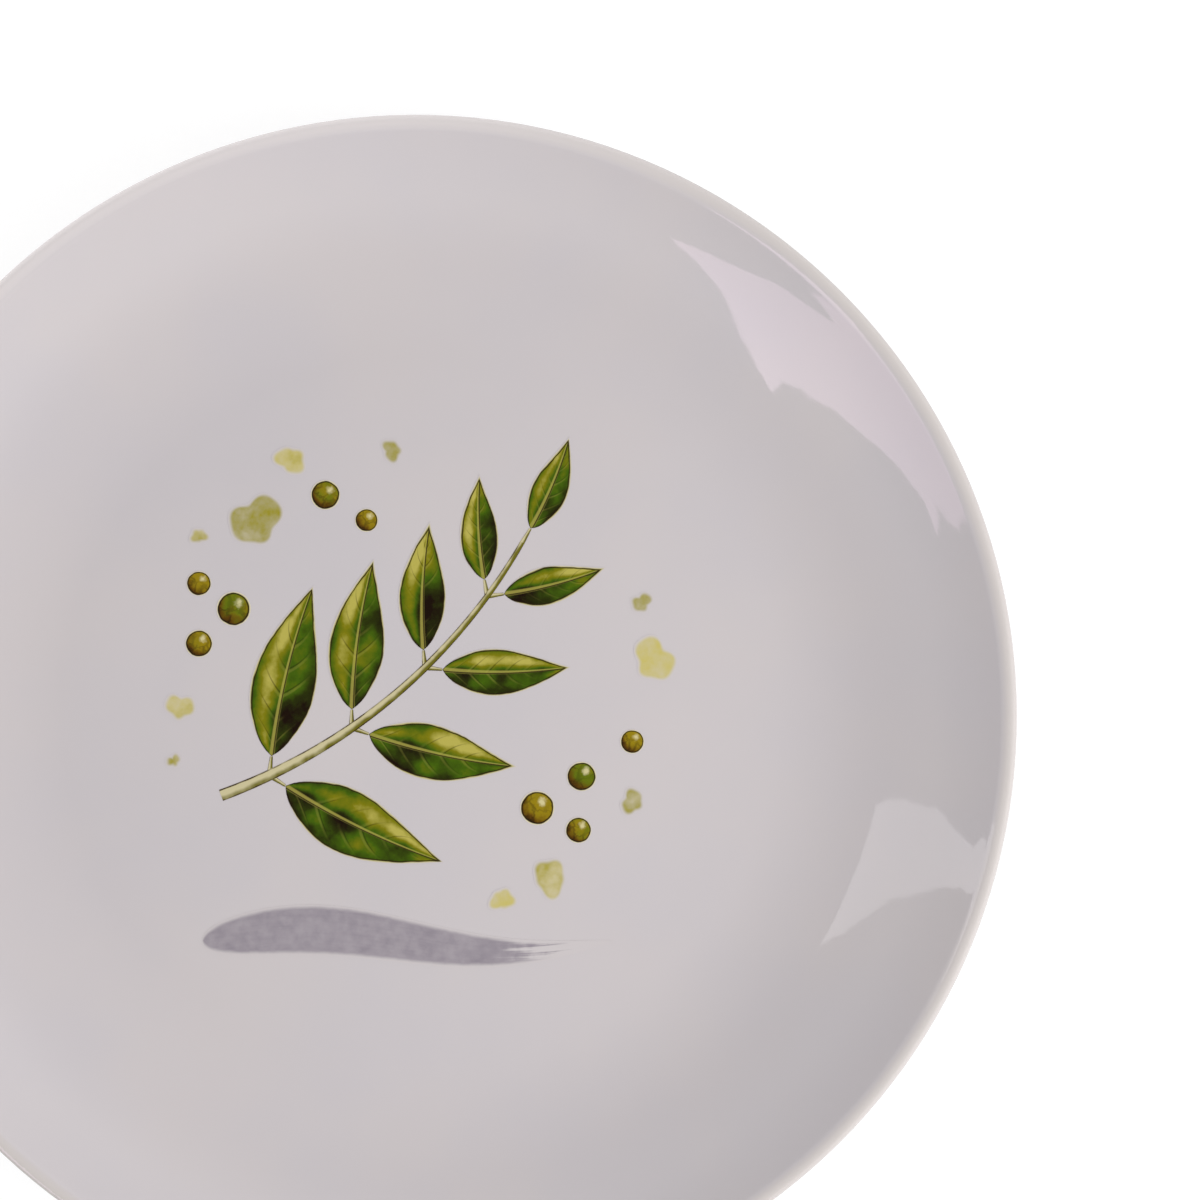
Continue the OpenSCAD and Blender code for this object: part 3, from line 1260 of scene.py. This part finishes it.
@dataclass(frozen=True)
class Sprig:
    """The herb sprig: a curved stem with stalks, leaves in pairs and a leaf at its tip."""

    ground: Ground
    foot_x: float = -0.63
    foot_y: float = -0.26
    start: float = math.radians(20)
    turn: float = math.radians(40)
    stem_w: float = 0.002
    taper: float = 0.6
    stalk_len: float = 0.0024
    stalk_w: float = 0.0008
    stalk_tip: float = 0.55
    gap: float = 0.00006
    pairs: int = 4
    first_pair: float = 0.13
    last_pair: float = 0.84
    first_spread: float = math.radians(58)
    last_spread: float = math.radians(46)
    last_size: float = 0.6
    leaf_len: float = 0.03
    leaf_gap: float = 0.0016
    leaf_bend: float = math.radians(14)
    tip_len: float = 0.017
    tip_w: float = 0.007
    stalk_run: float = 0.5
    stem_steps: int = 48
    stalk_steps: int = 4
    stem_columns: int = 6

    @property
    def foot(self) -> Vector:
        """Foot of the stem."""
        return self.ground.at(self.foot_x, self.foot_y)

    @property
    def stem_len(self) -> float:
        """Works out the length of the stem, with which the tip leaf just reaches the print's circle.

        Returns:
            The length.
        """
        way = along(self.start + self.turn / 2)
        back = self.foot.dot(way)
        span = math.sqrt(back**2 + self.ground.circle_r**2 - self.foot.length_squared) - back
        return span - self.tip_len - self.stalk_len

    def heading(self, run: float) -> float:
        """Direction of the stem at a share of its length."""
        return self.start + self.turn * run

    def stem_at(self, run: float) -> Vector:
        """Finds the middle of the stem.

        Args:
            run: Share of the stem's length.

        Returns:
            The point.
        """
        radius = self.stem_len / self.turn
        now = self.heading(run)
        turned = (math.sin(now) - math.sin(self.start), math.cos(self.start) - math.cos(now))
        return self.foot + radius * Vector(turned)

    def stem_half(self, run: float) -> float:
        """Half width of the stem at a share of its length."""
        return self.stem_w / 2 * (1 - self.taper * run)

    def leaves(self) -> list[Leaf]:
        """Lays out the leaves.

        Returns:
            The leaves from the foot of the stem up, left before right, and the tip leaf last.
        """
        pitch = self.stem_len * (self.last_pair - self.first_pair) / (self.pairs - 1)
        width = pitch * math.sin(self.first_spread) - self.leaf_gap
        found = []
        for number in range(1, 2 * self.pairs + 1):
            side = 1 if number % 2 else -1
            climb = (number - 1) // 2 / (self.pairs - 1)
            station = between(self.first_pair, self.last_pair, climb)
            size = between(1.0, self.last_size, climb)
            spread = side * between(self.first_spread, self.last_spread, climb)
            foot, direction = self.stalk_end(station, spread)
            bend = -side * self.leaf_bend
            length = self.leaf_len * size
            found.append(Leaf(number, station, foot, direction, bend, length, width * size))
        foot, direction = self.stalk_end(1.0, 0.0)
        tip = Leaf(len(found) + 1, 1.0, foot, direction, self.leaf_bend, self.tip_len, self.tip_w)
        return found + [tip]

    def stalk_end(self, station: float, spread: float) -> tuple[Vector, float]:
        """Finds where a stalk ends at its leaf.

        Args:
            station: Share of the stem's length at which it leaves the stem.
            spread: Angle from the stem, to the left.

        Returns:
            The leaf's foot, and its direction.
        """
        direction = self.heading(station) + spread
        reach = self.stem_half(station) + self.stalk_len
        return self.stem_at(station) + reach * along(direction), direction

    def draw_stalk(self, patch: Patch, leaf: Leaf) -> None:
        """Draws the stalk of a leaf, from the side of the stem to just short of the leaf.

        Args:
            patch: Patch to draw it on.
            leaf: Leaf that it carries.
        """
        root = self.stem_at(leaf.station)
        spread = leaf.direction - self.heading(leaf.station)
        half = self.stalk_w / 2
        ends = []
        for side in (-1, 1):
            reach = self.stem_half(leaf.station) - side * math.copysign(half, spread) * math.cos(spread)
            start = reach / abs(math.sin(spread)) if abs(spread) > TINY else 0.0
            ends.append((root + side * half * across(leaf.direction), start))
        far = (leaf.foot - root).length - self.gap
        rows = []
        for k in range(self.stalk_steps + 1):
            share = k / self.stalk_steps
            right, left = (at + between(start, far, share) * along(leaf.direction) for at, start in ends)
            drawn_in = (1 - between(1.0, self.stalk_tip, share)) / 2
            rows.append((right.lerp(left, drawn_in), left.lerp(right, drawn_in), self.stalk_run))
        patch.ribbon(rows, self.stem_columns)

    def build(self, glaze_colour: Colour) -> None:
        """Makes the stem with its stalks, and each leaf.

        Args:
            glaze_colour: Colour of the glaze under the print.
        """
        leaves = self.leaves()
        patch = self.ground.patch()
        rows = []
        for k in range(self.stem_steps + 1):
            run = k / self.stem_steps
            half = self.stem_half(run) * across(self.heading(run))
            rows.append((self.stem_at(run) - half, self.stem_at(run) + half, run))
        patch.ribbon(rows, self.stem_columns)
        for leaf in leaves:
            self.draw_stalk(patch, leaf)
        seat(patch.piece("stem_and_stalks"), StemFinish().material(), "stem_print")
        for leaf in leaves:
            finish = LeafFinish(f"leaf_{leaf.number}_tint", leaf.number, glaze_colour)
            seat(leaf.build(self.ground.patch()), finish.material(), f"leaf_{leaf.number}")


@dataclass(frozen=True)
class Peppercorns:
    """Loose peppercorns round the sprig: place, share of the largest one and share of green of each."""

    ground: Ground
    diameter: float = 0.006
    corns: tuple[tuple[float, float, float, float], ...] = (
        (-0.70, 0.22, 0.80, 0.2), (-0.59, 0.33, 1.00, 0.7), (-0.70, 0.41, 0.72, 0.0),
        (0.37, -0.30, 1.00, 0.1), (0.51, -0.20, 0.86, 0.8), (0.50, -0.37, 0.76, 0.4),
        (0.67, -0.09, 0.70, 0.0), (-0.30, 0.69, 0.86, 0.5), (-0.17, 0.61, 0.68, 0.1),
    )

    def build(self, glaze_colour: Colour) -> None:
        """Makes all the peppercorns as one piece.

        Args:
            glaze_colour: Colour of the glaze under the print.
        """
        patch = self.ground.patch()
        for x, y, size, hue in self.corns:
            patch.spot(self.ground.at(x, y), size * self.diameter / 2, hue)
        finish = PeppercornFinish(glaze_colour)
        seat(patch.piece("peppercorns"), finish.material(), "peppercorn_print")


@dataclass(frozen=True)
class WashBlots:
    """Blots of wash round the sprig: place, share of the largest one, and phase of its edge's waves.

    Of the waves round an edge, each has its count, its depth and how many times it takes the phase.
    """

    ground: Ground
    diameter: float = 0.0088
    blots: tuple[tuple[float, float, float, float], ...] = (
        (-0.52, 0.61, 1.00, 20), (-0.41, 0.80, 0.60, 140), (-0.70, 0.56, 0.36, 75),
        (-0.09, 0.83, 0.44, 230), (0.74, 0.17, 0.84, 200), (0.70, 0.35, 0.42, 15),
        (0.67, -0.28, 0.50, 310), (0.26, -0.59, 0.50, 60), (0.41, -0.52, 0.72, 250),
        (-0.76, 0.02, 0.56, 110), (-0.78, -0.15, 0.30, 30),
    )
    waves: tuple[tuple[int, float, int], ...] = ((2, 0.14, 1), (3, 0.09, -3), (5, 0.06, 2))
    hue_turns: int = 5

    def swell(self, phase: float, angle: float) -> float:
        """Share by which a blot's edge swells or draws in.

        Args:
            phase: Phase of its waves, in radians.
            angle: Angle round the blot, in radians.

        Returns:
            Share of the blot's mean radius.
        """
        swells = (depth * math.sin(count * angle + lead * phase) for count, depth, lead in self.waves)
        return 1 + sum(swells)

    def build(self, glaze_colour: Colour) -> None:
        """Makes all the blots as one piece.

        Args:
            glaze_colour: Colour of the glaze under the print.
        """
        patch = self.ground.patch()
        for x, y, size, degrees in self.blots:
            phase = math.radians(degrees)
            hue = (1 + math.sin(self.hue_turns * phase)) / 2
            patch.spot(self.ground.at(x, y), size * self.diameter / 2, hue, partial(self.swell, phase))
        seat(patch.piece("wash_blots"), WashFinish(glaze_colour).material(), "wash_print")


@dataclass(frozen=True)
class BrushStroke:
    """One wavy stroke of a brush under the sprig, blunt at its start and thin at its tail."""

    ground: Ground
    x: float = -0.04
    y: float = -0.72
    length: float = 0.07
    width: float = 0.0086
    wave: float = 0.0019
    swell: float = 0.55
    fullness: float = 0.75
    steps: int = 96
    columns: int = 12

    def half(self, run: float) -> float:
        """Half width at a share of the way along."""
        return self.width / 2 * max(0.0, math.sin(math.pi * run**self.swell)) ** self.fullness

    def build(self, glaze_colour: Colour) -> None:
        """Makes the stroke.

        Args:
            glaze_colour: Colour of the glaze under the print.
        """
        patch = self.ground.patch()
        middle = self.ground.at(self.x, self.y)
        rows = []
        for k in range(self.steps + 1):
            run = (1 - math.cos(math.pi * k / self.steps)) / 2
            at = middle + Vector((self.length * (run - 0.5), self.wave * math.sin(math.tau * run)))
            half = Vector((0.0, self.half(run)))
            rows.append((at - half, at + half, run))
        patch.ribbon(rows, self.columns)
        finish = BrushFinish(glaze_colour)
        seat(patch.piece("brushed_stroke"), finish.material(), "brush_stroke")


@dataclass(frozen=True)
class Lamp:
    """A soft lamp that lights the plate and shows nowhere, aimed at the middle of the table."""

    name: str
    azimuth: float
    lift: float
    distance: float
    size: tuple[float, float]
    power: float

    def build(self) -> None:
        """Hangs the lamp."""
        light = bpy.data.lights.new(self.name, "AREA")
        light.shape = "RECTANGLE"
        light.size, light.size_y = self.size
        light.energy = self.power
        lamp = bpy.data.objects.new(self.name, light)
        way = toward(self.azimuth, self.lift)
        lamp.location = self.distance * way
        lamp.rotation_euler = way.to_track_quat("Z", "Y").to_euler()
        lamp.visible_camera = False
        lamp.visible_glossy = False
        bpy.context.scene.collection.objects.link(lamp)


@dataclass(frozen=True)
class Softbox:
    """A glowing panel that faces the plate and shows in its glaze alone.

    It is planned by its highlight: each corner lies where the camera sees it mirrored in the curved wall,
    at an angle round the plate in degrees and a distance from the plate's axis in metres.
    Its glow goes from a first level at the table to a second one at its top.
    """

    name: str
    azimuth: float
    lift: float
    distance: float
    highlight: tuple[tuple[float, float], ...]
    colour: Colour
    glow: tuple[float, float]

    def corner(self, dish: Dish, eye: Vector, turn: float, radius: float) -> Vector:
        """Finds the corner that shows at a point of the plate's wall.

        Args:
            dish: Section of the plate.
            eye: Place of the camera.
            turn: Angle of the point round the plate, in radians.
            radius: Distance of the point from the plate's axis.

        Returns:
            The corner.
        """
        way = toward(self.azimuth, self.lift)
        at, facing = dish.wall_point(turn, radius)
        sight = (at - eye).reflect(facing)
        return at + sight * (self.distance - at.dot(way)) / sight.dot(way)

    def build(self, dish: Dish, eye: Vector) -> None:
        """Makes the panel.

        Args:
            dish: Section of the plate that it shows in.
            eye: Place of the camera.
        """
        corners = [self.corner(dish, eye, math.radians(turn), radius) for turn, radius in self.highlight]
        panel = new_piece(self.name, corners, [range(len(corners))])
        sheet = NodeSheet(bpy.data.materials.new(f"{self.name}_glow"))
        height = sheet.part(sheet.place(), Axis.UP)
        low, high = self.glow
        strength = low + (high - low) * height.rise(0.0, max(corner.z for corner in corners))
        glow = sheet.node("ShaderNodeEmission", {"Color": self.colour, "Strength": strength})
        sheet.put(sheet.tree.nodes["Material Output"].inputs["Surface"], Field(sheet, glow.outputs[0]))
        sheet.tree.nodes.remove(sheet.shader)
        panel.data.materials.append(sheet.owner)
        panel.visible_camera = False
        panel.visible_diffuse = False
        panel.visible_shadow = False


@dataclass(frozen=True)
class Studio:
    """White table, even sky, two lamps, two softboxes for the glaze, and the camera overhead."""

    camera_at: tuple[float, float, float] = (0.03068, 0.01932, 0.576)
    lens: float = 100.0
    sensor: float = 36.0
    sky: float = 0.703
    ceiling: float = 0.12
    ceiling_start: float = 0.5
    ceiling_full: float = 0.9
    lamps: tuple[Lamp, ...] = (
        Lamp(
            "key_lamp", azimuth=math.radians(-20), lift=math.radians(35), distance=0.7,
            size=(0.5, 0.5), power=2.62,
        ),
        Lamp(
            "low_fill", azimuth=math.radians(125), lift=math.radians(1.5), distance=0.45,
            size=(0.8, 0.016), power=0.9,
        ),
    )
    floor_size: float = 6.0
    floor_glow: float = 0.76
    floor_paper: Colour = srgb(165, 165, 165)
    floor_fleck: Colour = srgb(157, 157, 157)
    fleck_w: float = 0.002
    fleck_cover: float = 0.15
    floor_rough: float = 0.9
    softboxes: tuple[Softbox, ...] = (
        Softbox(
            "large_softbox", azimuth=math.radians(218), lift=math.radians(28), distance=0.9,
            highlight=(
                (61.5, 0.0905), (50.5, 0.0935), (44.0, 0.0955), (48.0, 0.0966), (51.0, 0.0969),
                (20.5, 0.0969), (19.5, 0.0955), (21.5, 0.0935), (20.0, 0.0920), (22.5, 0.0920),
                (24.0, 0.0915), (30.0, 0.0895), (37.0, 0.0870), (41.5, 0.0835), (42.5, 0.0810),
                (46.5, 0.0820), (49.0, 0.0840), (55.0, 0.0880),
            ),
            colour=srgb(255, 232, 250), glow=(3.0, 4.1),
        ),
        Softbox(
            "small_softbox", azimuth=math.radians(166), lift=math.radians(28), distance=0.9,
            highlight=(
                (-9.5, 0.0805), (-10.0, 0.0890), (-11.5, 0.0920), (-13.5, 0.0955), (-11.5, 0.0968),
                (-18.0, 0.0968), (-17.5, 0.0955), (-18.0, 0.0930), (-21.5, 0.0860),
                (-25.0, 0.0835), (-31.0, 0.0785), (-16.0, 0.0790), (-11.0, 0.0790),
            ),
            colour=srgb(255, 252, 254), glow=(3.2, 2.2),
        ),
    )

    def build_floor(self) -> None:
        """Makes the white table, which keeps the plate's shadow."""
        half = self.floor_size / 2
        corners = [(-half, -half, 0.0), (half, -half, 0.0), (half, half, 0.0), (-half, half, 0.0)]
        floor = new_piece("table_top", corners, [range(len(corners))])
        sheet = NodeSheet(bpy.data.materials.new("table_paper"))
        flecks = sheet.noise(sheet.place(), self.fleck_w, 3.0)
        paper = sheet.blend(self.fleck_cover * flecks, self.floor_paper, self.floor_fleck)
        sheet.finish(paper, self.floor_rough, 0.0)
        seen, mirrored = sheet.rays()
        glow = self.floor_glow * (seen + mirrored)
        sheet.put(sheet.shader.inputs["Emission Color"], srgb(255, 255, 255))
        sheet.put(sheet.shader.inputs["Emission Strength"], glow)
        floor.data.materials.append(sheet.owner)

    def build_sky(self) -> None:
        """Makes an even sky that shows white and lights the plate softly."""
        world = bpy.data.worlds.new("studio_sky")
        bpy.context.scene.world = world
        sheet = NodeSheet(world)
        way = Field(sheet, sheet.node("ShaderNodeTexCoord", {}).outputs["Generated"])
        height = sheet.part(way, Axis.UP)
        room = 1.0 - (1.0 - self.ceiling) * height.rise(self.ceiling_start, self.ceiling_full)
        seen, mirrored = sheet.rays()
        strength = self.sky + (1.0 - self.sky) * seen + (room - self.sky) * mirrored
        light = sheet.tree.nodes["Background"]
        sheet.put(light.inputs["Color"], srgb(255, 255, 255))
        sheet.put(light.inputs["Strength"], strength)

    def build_camera(self) -> None:
        """Sets the camera straight above, with its top edge to +Y."""
        view = bpy.data.cameras.new("overhead_camera")
        view.lens = self.lens
        view.sensor_width = self.sensor
        camera = bpy.data.objects.new("overhead_camera", view)
        camera.location = self.camera_at
        bpy.context.scene.collection.objects.link(camera)
        bpy.context.scene.camera = camera

    def build(self, dish: Dish) -> None:
        """Makes the whole studio.

        Args:
            dish: Section of the plate that the softboxes show in.
        """
        bpy.context.scene.view_settings.view_transform = "Standard"
        self.build_camera()
        self.build_sky()
        self.build_floor()
        for lamp in self.lamps:
            lamp.build()
        for softbox in self.softboxes:
            softbox.build(dish, Vector(self.camera_at))


def clear_scene() -> None:
    """Removes what Blender's own start-up scene holds."""
    for found in list(bpy.data.objects):
        bpy.data.objects.remove(found)


def main() -> None:
    """Builds the plate's pieces and the studio in order."""
    logging.basicConfig(level=logging.INFO, format="%(name)s: %(message)s")
    clear_scene()
    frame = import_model()

    glaze = GlazeFinish()
    dish = Dish.from_frame()
    dish.build(glaze.material(), BiscuitFinish().material(), frame["nodes"]["porcelain_body"])
    ground = Ground.from_frame()
    for part in (Sprig(ground), Peppercorns(ground), WashBlots(ground), BrushStroke(ground)):
        part.build(glaze.white)
    Studio().build(dish)


if __name__ == "__main__":
    main()
